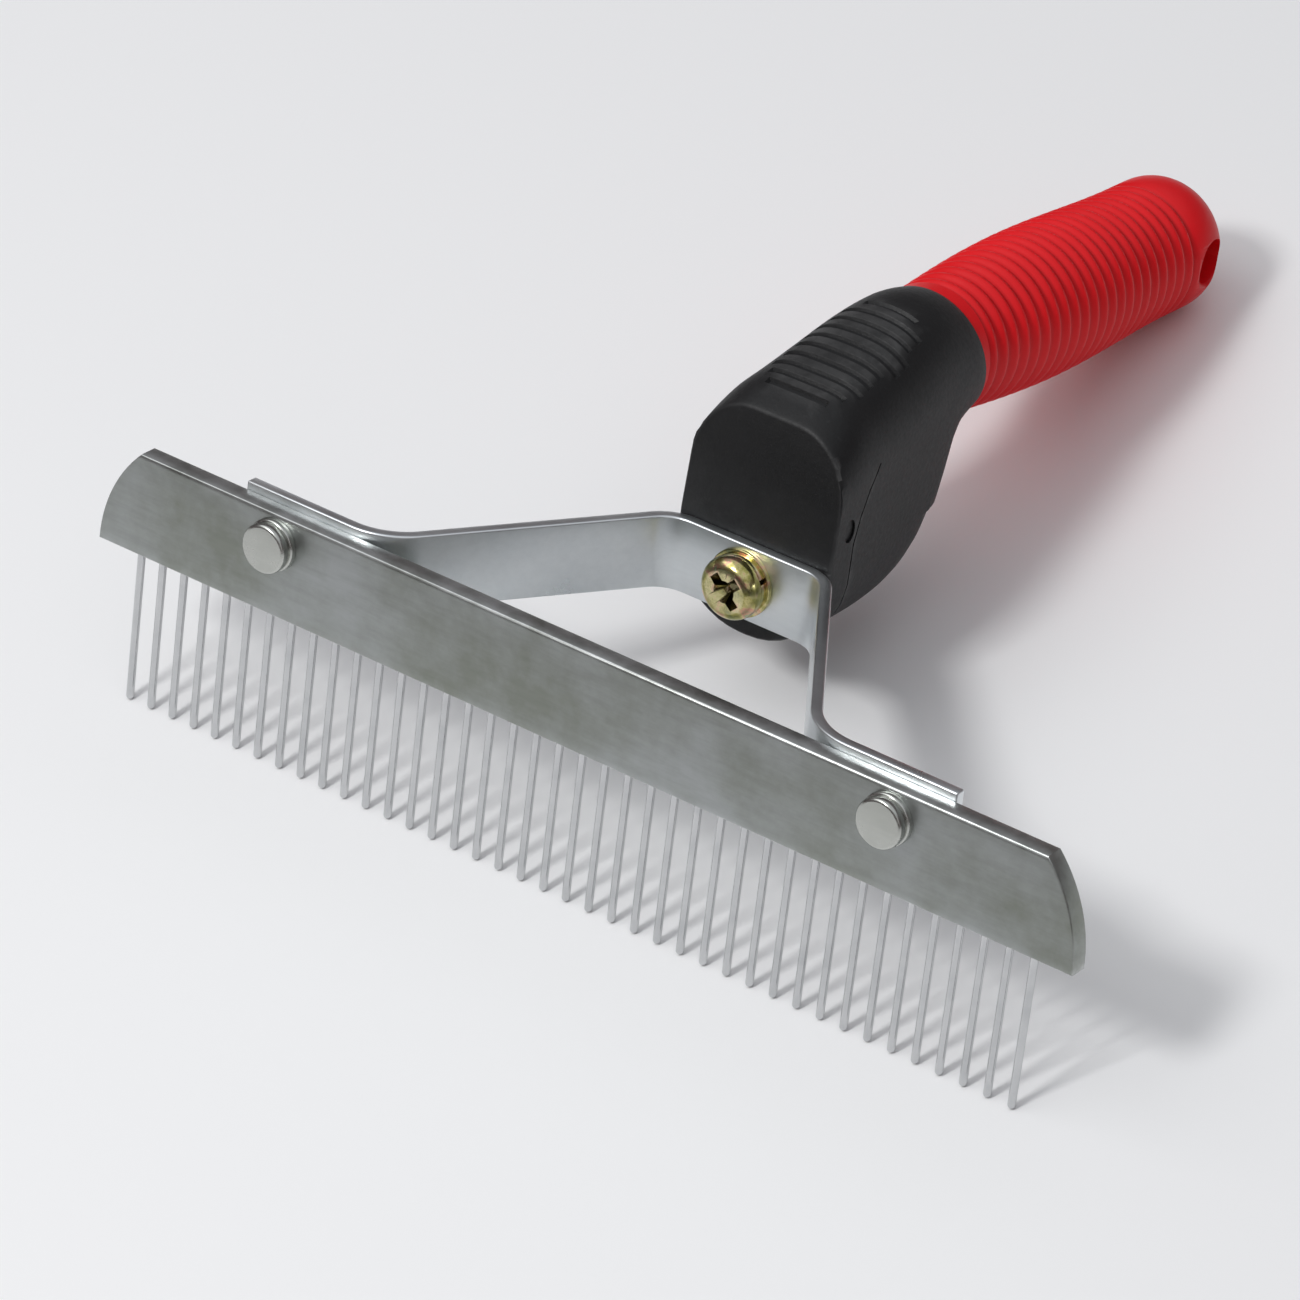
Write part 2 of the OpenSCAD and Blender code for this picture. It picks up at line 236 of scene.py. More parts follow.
def copy_of(obj, name):
    """Another piece of the same shape, with its own mesh."""
    twin = obj.copy()
    twin.data = obj.data.copy()
    twin.name = name
    bpy.context.scene.collection.objects.link(twin)
    return twin


# Shader groups

def new_group(name, inputs, outputs):
    """A shader group with float inputs and one in-going and one out-going node."""
    group = bpy.data.node_groups.new(name, "ShaderNodeTree")
    for label, default in inputs:
        socket = group.interface.new_socket(label, in_out="INPUT", socket_type="NodeSocketFloat")
        socket.default_value = default
    for label in outputs:
        group.interface.new_socket(label, in_out="OUTPUT", socket_type="NodeSocketFloat")
    return group, group.nodes.new("NodeGroupInput"), group.nodes.new("NodeGroupOutput")


def noise(nodes, links, coords, detail=4.0, roughness=0.55, scale=None, scale_from=None):
    """A noise texture on given coordinates, at a fixed scale or one from a socket."""
    texture = nodes.new("ShaderNodeTexNoise")
    texture.inputs["Detail"].default_value = detail
    texture.inputs["Roughness"].default_value = roughness
    links.new(coords, texture.inputs["Vector"])
    if scale_from is not None:
        links.new(scale_from, texture.inputs["Scale"])
    if scale is not None:
        texture.inputs["Scale"].default_value = scale
    return texture.outputs["Fac"]


def ramp(nodes, links, value, low, high, from_low=0.0, from_high=1.0):
    """Map a value from one range to another, held at both ends."""
    node = nodes.new("ShaderNodeMapRange")
    node.inputs["From Min"].default_value = from_low
    node.inputs["From Max"].default_value = from_high
    node.inputs["To Min"].default_value = low
    node.inputs["To Max"].default_value = high
    links.new(value, node.inputs["Value"])
    return node.outputs["Result"]


def set_stops(ramp_node, stops):
    """Give a colour ramp its stops, each a place and a colour."""
    elements = ramp_node.color_ramp.elements
    while len(elements) < len(stops):
        elements.new(0.5)
    for element, (place, colour) in zip(elements, stops):
        element.position = place
        element.color = (*colour, 1)


def make_surface_group():
    """Grain, blotches and streaks of a surface, from where a point is on the piece."""
    group, inside, outside = new_group(
        "surface_marks", [("Grain size", 3000), ("Blotch size", 60)], ["Grain", "Blotch", "Scuff", "Streak"])
    nodes, links = group.nodes, group.links
    place = nodes.new("ShaderNodeTexCoord").outputs["Object"]
    grain = noise(nodes, links, place, 3.0, 0.6, scale_from=inside.outputs["Grain size"])
    blotch = noise(nodes, links, place, 5.0, 0.6, scale_from=inside.outputs["Blotch size"])
    fine = noise(nodes, links, place, 6.0, 0.7, scale=420)
    stretched = nodes.new("ShaderNodeMapping")
    stretched.inputs["Scale"].default_value = (0.12, 1, 1)
    links.new(place, stretched.inputs["Vector"])
    streak = noise(nodes, links, stretched.outputs["Vector"], 5.0, 0.65, scale=900)
    links.new(ramp(nodes, links, streak, 0, 1, 0.40, 0.66), outside.inputs["Streak"])
    links.new(grain, outside.inputs["Grain"])
    links.new(ramp(nodes, links, blotch, 0, 1, 0.32, 0.68), outside.inputs["Blotch"])
    links.new(ramp(nodes, links, fine, 0, 1, 0.60, 0.72), outside.inputs["Scuff"])
    return group


def make_edge_wear_and_highlight_group():
    """How far a point lies on an outer edge, broken up by noise: a mask for worn edges and for painted edge
    highlights.
    """
    group, inside, outside = new_group("edge_wear_and_highlight", [("Wear_and_highlight", 0.5)], ["Edge"])
    nodes, links = group.nodes, group.links
    place = nodes.new("ShaderNodeTexCoord").outputs["Object"]
    pointed = nodes.new("ShaderNodeNewGeometry").outputs["Pointiness"]
    edge = ramp(nodes, links, pointed, 0, 1, 0.52, 0.60)
    broken = ramp(nodes, links, noise(nodes, links, place, 4.0, 0.6, scale=300), 0.4, 1, 0.35, 0.6)
    both = nodes.new("ShaderNodeMath")
    both.operation = "MULTIPLY"
    links.new(edge, both.inputs[0])
    links.new(broken, both.inputs[1])
    scaled = nodes.new("ShaderNodeMath")
    scaled.operation = "MULTIPLY"
    links.new(both.outputs[0], scaled.inputs[0])
    links.new(inside.outputs["Wear_and_highlight"], scaled.inputs[1])
    links.new(scaled.outputs[0], outside.inputs["Edge"])
    return group


SURFACE = make_surface_group()
EDGE = make_edge_wear_and_highlight_group()


class Finish:
    """A material under construction: a Principled shader with marks, worn edges and painted edge highlights
    to drive it.
    """

    def __init__(self, name, grain_size, blotch_size, wear_and_highlight):
        self.material = bpy.data.materials.new(name)
        self.material.use_nodes = True
        self.nodes = self.material.node_tree.nodes
        self.links = self.material.node_tree.links
        self.shader = self.nodes["Principled BSDF"]
        self.marks = self.nodes.new("ShaderNodeGroup")
        self.marks.node_tree = SURFACE
        self.marks.inputs["Grain size"].default_value = grain_size
        self.marks.inputs["Blotch size"].default_value = blotch_size
        self.edges = self.nodes.new("ShaderNodeGroup")
        self.edges.node_tree = EDGE
        self.edges.inputs["Wear_and_highlight"].default_value = wear_and_highlight

    def mix(self, mask, first, second, amount=1.0):
        """Blend two colours, or a socket and a colour, by a mask."""
        node = self.nodes.new("ShaderNodeMix")
        node.data_type = "RGBA"
        self.links.new(ramp(self.nodes, self.links, mask, 0, amount), node.inputs["Factor"])
        for socket, colour in ((node.inputs["A"], first), (node.inputs["B"], second)):
            if isinstance(colour, tuple):
                socket.default_value = (*colour, 1)
            else:
                self.links.new(colour, socket)
        return node.outputs["Result"]

    def colour(self, socket):
        """Drive the base colour from a socket."""
        self.links.new(socket, self.shader.inputs["Base Color"])

    def roughness(self, mask, low, high):
        """Drive the roughness between two values by a mask."""
        self.links.new(ramp(self.nodes, self.links, mask, low, high), self.shader.inputs["Roughness"])

    def bump(self, height, depth, strength=1.0):
        """Raise the surface by a height mask; depth is in metres."""
        node = self.nodes.new("ShaderNodeBump")
        node.inputs["Strength"].default_value = strength
        node.inputs["Distance"].default_value = depth
        self.links.new(height, node.inputs["Height"])
        self.links.new(node.outputs["Normal"], self.shader.inputs["Normal"])

    def set(self, **values):
        """Set shader inputs that are the same all over; an underscore stands for a space."""
        for name, value in values.items():
            self.shader.inputs[name.replace("_", " ")].default_value = value


def plated_metal(name, main, blotch, edge, grain_size=2600, blotch_size=55, rough=(0.3, 0.42),
                 bump=0.00001, wear_and_highlight=0.6, streaks=0.08):
    """A plated steel finish: satin colour with faint blotches and streaks, and brighter edges that are partly
    worn plating and partly painted highlight.
    """
    finish = Finish(name, grain_size, blotch_size, wear_and_highlight)
    base = finish.mix(finish.marks.outputs["Blotch"], main, blotch)
    base = finish.mix(finish.marks.outputs["Streak"], base, tuple(0.55 * c for c in main), streaks)
    # The edge colour marks worn edges and is also a painted highlight along them.
    finish.colour(finish.mix(finish.edges.outputs["Edge"], base, edge))
    finish.roughness(finish.marks.outputs["Blotch"], *rough)
    finish.bump(finish.marks.outputs["Grain"], bump, 0.6)
    finish.set(Metallic=1.0)
    return finish.material


def make_yellow_zinc(name="yellow_zinc", shade=1.0):
    """Yellow passivated zinc: gold and olive with pink and green tints that drift over the piece, and
    brighter edges that are partly worn and partly painted highlight; a shade below 1 darkens every colour,
    for painted shade.
    """
    finish = Finish(name, 2600, 420, 0.4)
    tint = finish.nodes.new("ShaderNodeValToRGB")
    stops = [(0.0, (0.22, 0.25, 0.10)), (0.35, (0.42, 0.38, 0.12)), (0.6, (0.62, 0.55, 0.26)),
             (0.8, (0.70, 0.36, 0.26)), (1.0, (0.36, 0.40, 0.22))]
    set_stops(tint, [(place, tuple(shade * c for c in colour)) for place, colour in stops])
    finish.links.new(finish.marks.outputs["Blotch"], tint.inputs["Fac"])
    # Edge colour: worn edges and painted highlight.
    bright = (0.95 * shade, 0.88 * shade, 0.60 * shade)
    finish.colour(finish.mix(finish.edges.outputs["Edge"], tint.outputs["Color"], bright))
    finish.roughness(finish.marks.outputs["Scuff"], 0.16, 0.34)
    finish.bump(finish.marks.outputs["Grain"], 0.00001, 0.5)
    finish.set(Metallic=1.0)
    return finish.material


def make_black_plastic():
    """Matte moulded plastic with a fine texture and slightly paler edges, a painted highlight along its
    rounded edges.
    """
    finish = Finish("black_plastic", 1500, 90, 1.0)
    base = finish.mix(finish.marks.outputs["Blotch"], (0.0035, 0.0035, 0.0040), (0.0060, 0.0060, 0.0065))
    base = finish.mix(finish.marks.outputs["Scuff"], base, (0.020, 0.020, 0.021), 0.5)
    # Paler colour along the edges: painted highlight.
    finish.colour(finish.mix(finish.edges.outputs["Edge"], base, (0.110, 0.110, 0.110)))
    finish.roughness(finish.marks.outputs["Grain"], 0.42, 0.62)
    finish.set(Specular_IOR_Level=0.4)
    finish.bump(finish.marks.outputs["Grain"], 0.00006, 0.8)
    return finish.material


def make_red_rubber():
    """Satin moulded rubber, with painted shade down in the grooves and a painted highlight on the rib crests.
    """
    finish = Finish("red_rubber", 1800, 45, 0.5)
    base = finish.mix(finish.marks.outputs["Blotch"], (0.66, 0.003, 0.007), (0.76, 0.005, 0.010))
    # Darker red down in the grooves: painted shade.
    hollow = finish.nodes.new("ShaderNodeNewGeometry").outputs["Pointiness"]
    painted_groove_shade = ramp(finish.nodes, finish.links, hollow, 1, 0, 0.40, 0.50)
    base = finish.mix(painted_groove_shade, base, (0.24, 0.001, 0.003), 0.9)
    # Brighter red on the rib crests and outer edges: painted highlight.
    finish.colour(finish.mix(finish.edges.outputs["Edge"], base, (0.86, 0.03, 0.03)))
    finish.roughness(finish.marks.outputs["Blotch"], 0.38, 0.48)
    finish.set(Specular_IOR_Level=0.3)
    finish.bump(finish.marks.outputs["Grain"], 0.00003, 0.6)
    return finish.material


PLATED_BAR = plated_metal("plated_bar", (0.25, 0.265, 0.235), (0.42, 0.44, 0.44), (0.75, 0.76, 0.76),
                          blotch_size=75, streaks=0.16)
TOOTH_STEEL = plated_metal("tooth_steel", (0.50, 0.51, 0.52), (0.60, 0.61, 0.62), (0.70, 0.70, 0.70),
                           blotch_size=150, rough=(0.16, 0.24), bump=0.000003, streaks=0)
BRACKET_ZINC = plated_metal("bracket_zinc", (0.68, 0.72, 0.74), (0.80, 0.83, 0.84), (0.92, 0.93, 0.94),
                            blotch_size=70, rough=(0.26, 0.38))
RIVET_ZINC = plated_metal("rivet_zinc", (0.44, 0.45, 0.42), (0.52, 0.53, 0.50), (0.85, 0.85, 0.82),
                          blotch_size=200, rough=(0.2, 0.3))
PLAIN_STEEL = plated_metal("plain_steel", (0.55, 0.55, 0.55), (0.62, 0.62, 0.62), (0.8, 0.8, 0.8))
YELLOW_ZINC = make_yellow_zinc()
# A darkened copy of the yellow zinc, used as painted shade inside the screw's cross recess.
RECESS_SHADE_ZINC = make_yellow_zinc("yellow_zinc_recess_shade", 0.3)
BLACK_PLASTIC = make_black_plastic()
RED_RUBBER = make_red_rubber()


# The comb head

def make_bar():
    """The flat bar: an outline with an arc at each end, thickened, with a wide round top front edge."""
    setback = (BAR_LEN - BAR_TOP_LEN) / 2
    end_r = (BAR_H ** 2 + setback ** 2) / (2 * setback)
    middle = BAR_LEN / 2 - end_r
    top_angle = asin(BAR_H / end_r) * 180 / pi
    right_end = [(x, 0, z) for x, z in arc((middle, 0), end_r, 0, top_angle, 14)]
    left_end = [(-x, 0, z) for x, _, z in reversed(right_end)]
    bar = draw_line("comb_bar_plate", right_end + left_end)
    bpy.ops.mesh.edge_face_add()
    bpy.ops.mesh.extrude_region_move(TRANSFORM_OT_translate={"value": (0, BAR_T, 0)})
    close_up()
    bpy.ops.object.mode_set(mode="EDIT")
    edge_at = 0.01
    pick("EDGE", lambda c: c.y < edge_at or c.y > BAR_T - edge_at)
    bpy.ops.transform.edge_bevelweight(value=0.35)
    pick("EDGE", lambda c: c.y < edge_at and c.z > BAR_H - edge_at)
    bpy.ops.transform.edge_bevelweight(value=0.65)
    bpy.ops.object.mode_set(mode="OBJECT")
    apply_modifier(bar, "BEVEL", limit_method="WEIGHT", width=0.62, segments=4)
    settle(bar)
    finish_piece(bar, PLATED_BAR, ["comb_bar"])


def make_teeth():
    """Forty pins: one is turned, with a round tip, and the rest are copied from it."""
    tip = arc((0, TOOTH_R - TOOTH_LEN), TOOTH_R, -90, 0, 5)
    first = turned("tooth_pin_01", [*tip, (TOOTH_R, TOOTH_TOP), (0, TOOTH_TOP)], 20)
    pins = [first] + [copy_of(first, f"tooth_pin_{i:02d}") for i in range(2, TOOTH_COUNT + 1)]
    for i, pin in enumerate(pins):
        x = (i - (TOOTH_COUNT - 1) / 2) * TOOTH_PITCH
        settle(pin, Matrix.Translation((x, BAR_T / 2, 0)))
        finish_piece(pin, TOOTH_STEEL, [f"tooth_{i + 1:02d}"])


def make_bracket():
    """The bent strip: its middle line, raised to its height, thickened and eased at its edges."""
    arm_angle = atan2(GAP_DEPTH, (FOOT_CORNER - BRIDGE_CORNER) / 2)
    turn = arm_angle * 180 / pi
    foot_x = FOOT_CORNER / 2 + FOOT_BEND_R * tan(arm_angle / 2)
    bridge_x = BRIDGE_CORNER / 2 - BRIDGE_BEND_R * tan(arm_angle / 2)
    foot_bend = arc((foot_x, FOOT_Y + FOOT_BEND_R), FOOT_BEND_R, -90, -90 - turn, 14)
    bridge_bend = arc((bridge_x, BRIDGE_Y - BRIDGE_BEND_R), BRIDGE_BEND_R, 90 - turn, 90, 14)
    half = [(FOOT_LEN / 2, FOOT_Y)] + foot_bend + bridge_bend
    bottom = STRIP_Z - STRIP_H / 2
    right = [(x, y, bottom) for x, y in half]
    left = [(-x, y, bottom) for x, y in reversed(half)]
    strip = draw_line("bracket_strip", right + left)
    bpy.ops.mesh.extrude_region_move(TRANSFORM_OT_translate={"value": (0, 0, STRIP_H)})
    close_up()
    apply_modifier(strip, "SOLIDIFY", thickness=STRIP_T, offset=0.0, use_even_offset=True)
    apply_modifier(strip, "BEVEL", limit_method="ANGLE", angle_limit=radians(50), width=0.28, segments=3)
    settle(strip)
    finish_piece(strip, BRACKET_ZINC, ["bracket"])


def make_rivets():
    """Two rivets with flat, round-rimmed heads, each on a slightly wider washer."""
    head_r, head_front, rim = 3.7, -2.8, 0.5
    tail_front = BAR_T + STRIP_T
    outline = [(0, head_front), *arc((head_r - rim, head_front + rim), rim, -90, 0, 5),
               (head_r, -1.55), (head_r - 0.3, -RIVET_WASHER_T), (2, -RIVET_WASHER_T),
               (2, tail_front), (3.2, tail_front),
               *arc((2.7, tail_front + 0.9), 0.5, 0, 90, 4), (0, tail_front + 1.4)]
    edge = 0.35
    ring_r = 3.9
    ring = [(2.02, -RIVET_WASHER_T), *arc((ring_r - edge, edge - RIVET_WASHER_T), edge, -90, 0, 4),
            *arc((ring_r - 0.1, -0.1), 0.1, 0, 90, 2), (2.02, 0), (2.02, -RIVET_WASHER_T)]
    rivet = turned("rivet_left", outline)
    washer = turned("rivet_washer_left", ring)
    for piece, right_name, node in ((rivet, "rivet_right", "rivets"),
                                    (washer, "rivet_washer_right", "rivet_washers")):
        twin = copy_of(piece, right_name)
        for one, side in ((piece, -1), (twin, 1)):
            settle(one, Matrix.Translation((side * RIVET_X, 0, STRIP_Z)) @ ALONG_Y)
            finish_piece(one, RIVET_ZINC, [node])


def make_cross_cutter(turn):
    """One wing of the cross recess: a block that narrows towards its bottom."""
    length, width, height = 6.3, 1.75, 2.4
    top = -3.0
    narrowing = 0.45
    wing = new_box((length, width, height), (0, 0, top + height / 2))
    pick("FACE", lambda c: c.z > top + height - 0.3)
    bpy.ops.transform.resize(value=(narrowing, narrowing, 1))
    bpy.ops.mesh.select_all(action="SELECT")
    bpy.ops.transform.rotate(value=radians(turn), orient_axis="Z", center_override=(0, 0, 0))
    bpy.ops.object.mode_set(mode="OBJECT")
    return wing


def make_screw():
    """The clamp screw: a pan head with a cross recess, and its shank."""
    head_r, head_h, rim = 4.75, 2.7, 1.9
    shank_r, shank_len = 2.5, 24.0
    outline = [(0, -head_h), (1.6, 0.04 - head_h), *arc((head_r - rim, rim + 0.1 - head_h), rim, -80, 0, 9),
               *arc((head_r - 0.25, -0.25), 0.25, 0, 90, 4), (shank_r, 0),
               (shank_r, shank_len - 1), (shank_r - 1, shank_len), (0, shank_len)]
    screw = turned("clamp_screw_body", outline, 72)
    for turn in (45, 135):
        cut_away(screw, make_cross_cutter(turn))
    bpy.ops.object.select_all(action="DESELECT")
    bpy.ops.mesh.primitive_cone_add(vertices=32, radius1=1.9, radius2=0.5, depth=2.6, location=(0, 0, -1.7))
    cut_away(screw, bpy.context.object)
    apply_modifier(screw, "BEVEL", limit_method="ANGLE", angle_limit=radians(38), width=0.09, segments=2)
    place = Matrix.Translation((0, SCREW_SEAT, STRIP_Z)) @ ALONG_Y
    settle(screw, place)
    finish_piece(screw, YELLOW_ZINC, ["clamp_screw"])
    # Faces down in the cross recess get the darkened zinc: painted shade where the recess lies in shadow.
    screw.data.materials.append(RECESS_SHADE_ZINC)
    back_to_screw = (LAY_DOWN @ place).inverted()

    def in_recess(c):
        p = back_to_screw @ c
        return 0.12 - head_h < p.z < -0.3 and p.x ** 2 + p.y ** 2 < 2.4 ** 2

    bpy.ops.object.mode_set(mode="EDIT")
    pick("FACE", in_recess)
    screw.active_material_index = 1
    bpy.ops.object.material_slot_assign()
    bpy.ops.object.mode_set(mode="OBJECT")


def make_flat_washer():
    """The plain washer against the bridge, with eased edges."""
    outer, inner, edge = 5.15, 2.65, 0.2
    ring = [(inner, 0), *arc((outer - edge, edge), edge, -90, 0, 3),
            *arc((outer - edge, FLAT_WASHER_T - edge), edge, 0, 90, 3), (inner, FLAT_WASHER_T), (inner, 0)]
    washer = turned("flat_washer_ring", ring, 72)
    settle(washer, Matrix.Translation((0, BRIDGE_FRONT - FLAT_WASHER_T, STRIP_Z)) @ ALONG_Y)
    finish_piece(washer, YELLOW_ZINC, ["flat_washer"])


def make_spring_washer():
    """The split lock washer: a square section turned almost all the way round."""
    outer, inner, split = 4.65, 2.6, 8
    section = [(inner, 0, 0.02), (outer, 0, 0.02), (outer, 0, SPRING_WASHER_T - 0.02),
               (inner, 0, SPRING_WASHER_T - 0.02)]
    washer = draw_line("spring_washer_ring", section)
    bpy.ops.mesh.edge_face_add()
    bpy.ops.mesh.spin(steps=70, angle=radians(360 - split), center=(0, 0, 0), axis=(0, 0, 1))
    close_up()
    apply_modifier(washer, "BEVEL", limit_method="ANGLE", angle_limit=radians(50), width=0.12, segments=2)
    spun = Matrix.Rotation(radians(-30), 4, "Z")
    settle(washer, Matrix.Translation((0, SCREW_SEAT, STRIP_Z)) @ ALONG_Y @ spun)
    finish_piece(washer, YELLOW_ZINC, ["spring_washer"])


# The handle

# Stations of the block and neck, from the front face back: top y and z, bottom y and z, half width,
# and how far the section has gone from a rounded block to an ellipse
STATIONS = [
    (BRIDGE_BACK, BLOCK_TOP, BRIDGE_BACK, BLOCK_BOTTOM, BLOCK_W / 2, 0.0),
    (47.5, 38.1, 50, 1.2, 12.6, 0.03),
    (53.5, 39.7, 59, 0.9, 12.1, 0.08),
    (60, 41.3, 67.2, 2, 11.7, 0.2),
    (66, 42.7, 72.4, 5.2, 11.3, 0.35),
    (71, 43.5, 74.2, 10.9, 10.8, 0.55),
    (75.5, 43.7, 75, 16.8, 10.3, 0.75),
    (79, 43.2, 77.5, 21.3, 9.9, 0.9),
]
ROW_LENGTH = 1.25


def neck_end():
    """The last station: the round end of the neck, just inside the front of the grip."""
    r = GRIP_FRONT_R - 0.25
    half = r / cos(GRIP_LEAN + GRIP_DROP)
    up = Vector((-sin(GRIP_LEAN), cos(GRIP_LEAN))) * half
    middle = Vector((GRIP_FRONT.y, GRIP_FRONT.z))
    return (*(middle + up), *(middle - up), r, 1.0)


def smooth(a, b, c, d, t):
    """A smooth curve through four stations, at t from the second to the third."""
    return [q + 0.5 * t * (r - p + t * (2 * p - 5 * q + 4 * r - s + t * (3 * (q - r) + s - p)))
            for p, q, r, s in zip(a, b, c, d)]


def handle_rows():
    """All the rows of the handle: the stations and the rows between them, about evenly spaced."""
    stations = STATIONS + [neck_end()]
    last = len(stations) - 1
    rows = [stations[0]]
    for i in range(last):
        steps = max(2, round((stations[i + 1][0] - stations[i][0]) / ROW_LENGTH))
        around = [stations[max(i - 1, 0)], stations[i], stations[i + 1], stations[min(i + 2, last)]]
        rows += [smooth(*around, step / steps) for step in range(1, steps + 1)]
    return rows


class Section:
    """Where the handle's moving section stands: its middle, half height, half width, lean and roundness."""

    def __init__(self, row):
        top, bottom = Vector((0, row[0], row[1])), Vector((0, row[2], row[3]))
        self.middle = (top + bottom) / 2
        self.half_height = (top - bottom).length / 2
        self.half_width = row[4]
        self.lean = atan2(bottom.y - top.y, top.z - bottom.z)
        self.roundness = row[5]


def turn_about_x(angle, middle):
    """Turn what is selected about X; without a window the operator turns the other way."""
    bpy.ops.transform.rotate(value=-angle, orient_axis="X", orient_type="GLOBAL", center_override=middle)


def extrude_section(now, then):
    """Extrude the selected end face from one section to the next."""
    bpy.ops.mesh.extrude_region_move(TRANSFORM_OT_translate={"value": then.middle - now.middle})
    middle = then.middle
    turn_about_x(-now.lean, middle)
    bpy.ops.transform.resize(value=(1 / now.half_width, 1, 1 / now.half_height), center_override=middle)
    if then.roundness > now.roundness:
        step = (then.roundness - now.roundness) / (1 - now.roundness)
        bpy.ops.transform.tosphere(value=step)
    bpy.ops.transform.resize(value=(then.half_width, 1, then.half_height), center_override=middle)
    turn_about_x(then.lean, middle)


def make_front_face():
    """The block's front face: a plane with round corners, wide at the bottom, cut into short edges."""
    height = BLOCK_TOP - BLOCK_BOTTOM
    middle = (0, BRIDGE_BACK, (BLOCK_TOP + BLOCK_BOTTOM) / 2)
    top_round, bottom_round = 9.0, 12.3
    bpy.ops.object.select_all(action="DESELECT")
    bpy.ops.mesh.primitive_plane_add(size=1)
    block = bpy.context.object
    block.name = "handle_block_and_neck"
    bpy.ops.object.mode_set(mode="EDIT")
    bpy.ops.transform.resize(value=(BLOCK_W, height, 1))
    turn_about_x(pi / 2, (0, 0, 0))
    bpy.ops.transform.translate(value=middle)
    pick("VERT", lambda c: c.z > middle[2])
    bpy.ops.mesh.bevel(offset=top_round, offset_type="OFFSET", segments=10, affect="VERTICES")
    pick("VERT", lambda c: c.z < middle[2] - height / 2 + 0.01)
    bpy.ops.mesh.bevel(offset=bottom_round, offset_type="OFFSET", segments=10, affect="VERTICES")
    pick("EDGE", lambda c: abs(c.x) < 0.01 and c.z > middle[2])
    bpy.ops.mesh.subdivide(number_cuts=7)
    pick("EDGE", lambda c: abs(abs(c.x) - BLOCK_W / 2) < 0.01)
    bpy.ops.mesh.subdivide(number_cuts=9)
    bpy.ops.mesh.select_mode(type="FACE")
    bpy.ops.mesh.select_all(action="SELECT")
    return block


def raise_thumb_ridges():
    """Raise short cross ridges on top of the neck, inside an oval, on every second row."""
    oval_middle, oval_half_length, oval_half_width = 59.0, 13.0, 7.7
    rows = handle_rows()
    tops = [(a[0] + b[0]) / 2 for a, b in zip(rows, rows[1:])]
    chosen = [y for i, y in enumerate(tops) if i % 2 == 0 and abs(y - oval_middle) < oval_half_length]

    def on_ridge(c):
        if c.z < 30:
            return False
        nearest = min(chosen, key=lambda y: abs(y - c.y + 0.06 * (43 - c.z)))
        reach = oval_half_width * sqrt(max(0, 1 - abs((nearest - oval_middle) / oval_half_length) ** 3))
        return abs(nearest - c.y) < 0.5 and abs(c.x) < max(reach, 2.5)

    pick("FACE", on_ridge)
    bpy.ops.mesh.inset(thickness=0.34, depth=0.45, use_even_offset=True)


def lean_front_back(block):
    """Cut the front face back above the bracket, so that it leans, and ease its edge."""
    width, depth, height = 40, 10, 30
    cutter = new_box((width, depth, height), (0, BRIDGE_BACK - depth / 2, LEAN_FROM + height / 2))
    turn_about_x(-FRONT_LEAN, (0, BRIDGE_BACK, LEAN_FROM))
    bpy.ops.object.mode_set(mode="OBJECT")
    cut_away(block, cutter)
    bpy.ops.object.mode_set(mode="EDIT")

    def on_front(c):
        if c.z < LEAN_FROM - 0.01:
            return abs(c.y - BRIDGE_BACK) < 0.01
        off = (c.y - BRIDGE_BACK) * cos(FRONT_LEAN) - (c.z - LEAN_FROM) * sin(FRONT_LEAN)
        return abs(off) < 0.01 and c.z > LEAN_FROM + 0.01

    pick("EDGE", on_front)
    bpy.ops.mesh.bevel(offset=0.45, segments=3, affect="EDGES")
    bpy.ops.object.mode_set(mode="OBJECT")


def mark_sides(block):
    """Cut a fine seam down both sides of the block, and the small oval mark on its right side."""
    seam = [(11.9, 53.0, 30.0), (12.0, 50.6, 26.8), (12.3, 48.7, 23.1), (12.45, 47.6, 19.2),
            (12.05, 47.5, 15.0), (11.6, 47.9, 10.5), (9.6, 49.2, 6.0), (5.3, 51.0, 2.4)]
    seam_reach, seam_width = 4, 0.3
    mark_middle, mark_half_height, mark_half_length = (13.36, 46.1, 21.9), 1.8, 1.25
    for side in (1, -1):
        cutter = draw_line("seam_cutter", [(side * x, y, z) for x, y, z in seam])
        bpy.ops.mesh.extrude_region_move(TRANSFORM_OT_translate={"value": (side * seam_reach, 0, 0)})
        close_up()
        apply_modifier(cutter, "SOLIDIFY", thickness=seam_width, offset=0.0)
        cut_away(block, cutter)
    bpy.ops.object.select_all(action="DESELECT")
    bpy.ops.mesh.primitive_cylinder_add(vertices=40, radius=1, depth=2)
    mark = bpy.context.object
    mark.matrix_world = (Matrix.Translation(mark_middle) @ Matrix.Rotation(pi / 2, 4, "Y")
                         @ Matrix.Diagonal((mark_half_height, mark_half_length, 1, 1)))
    cut_away(block, mark)


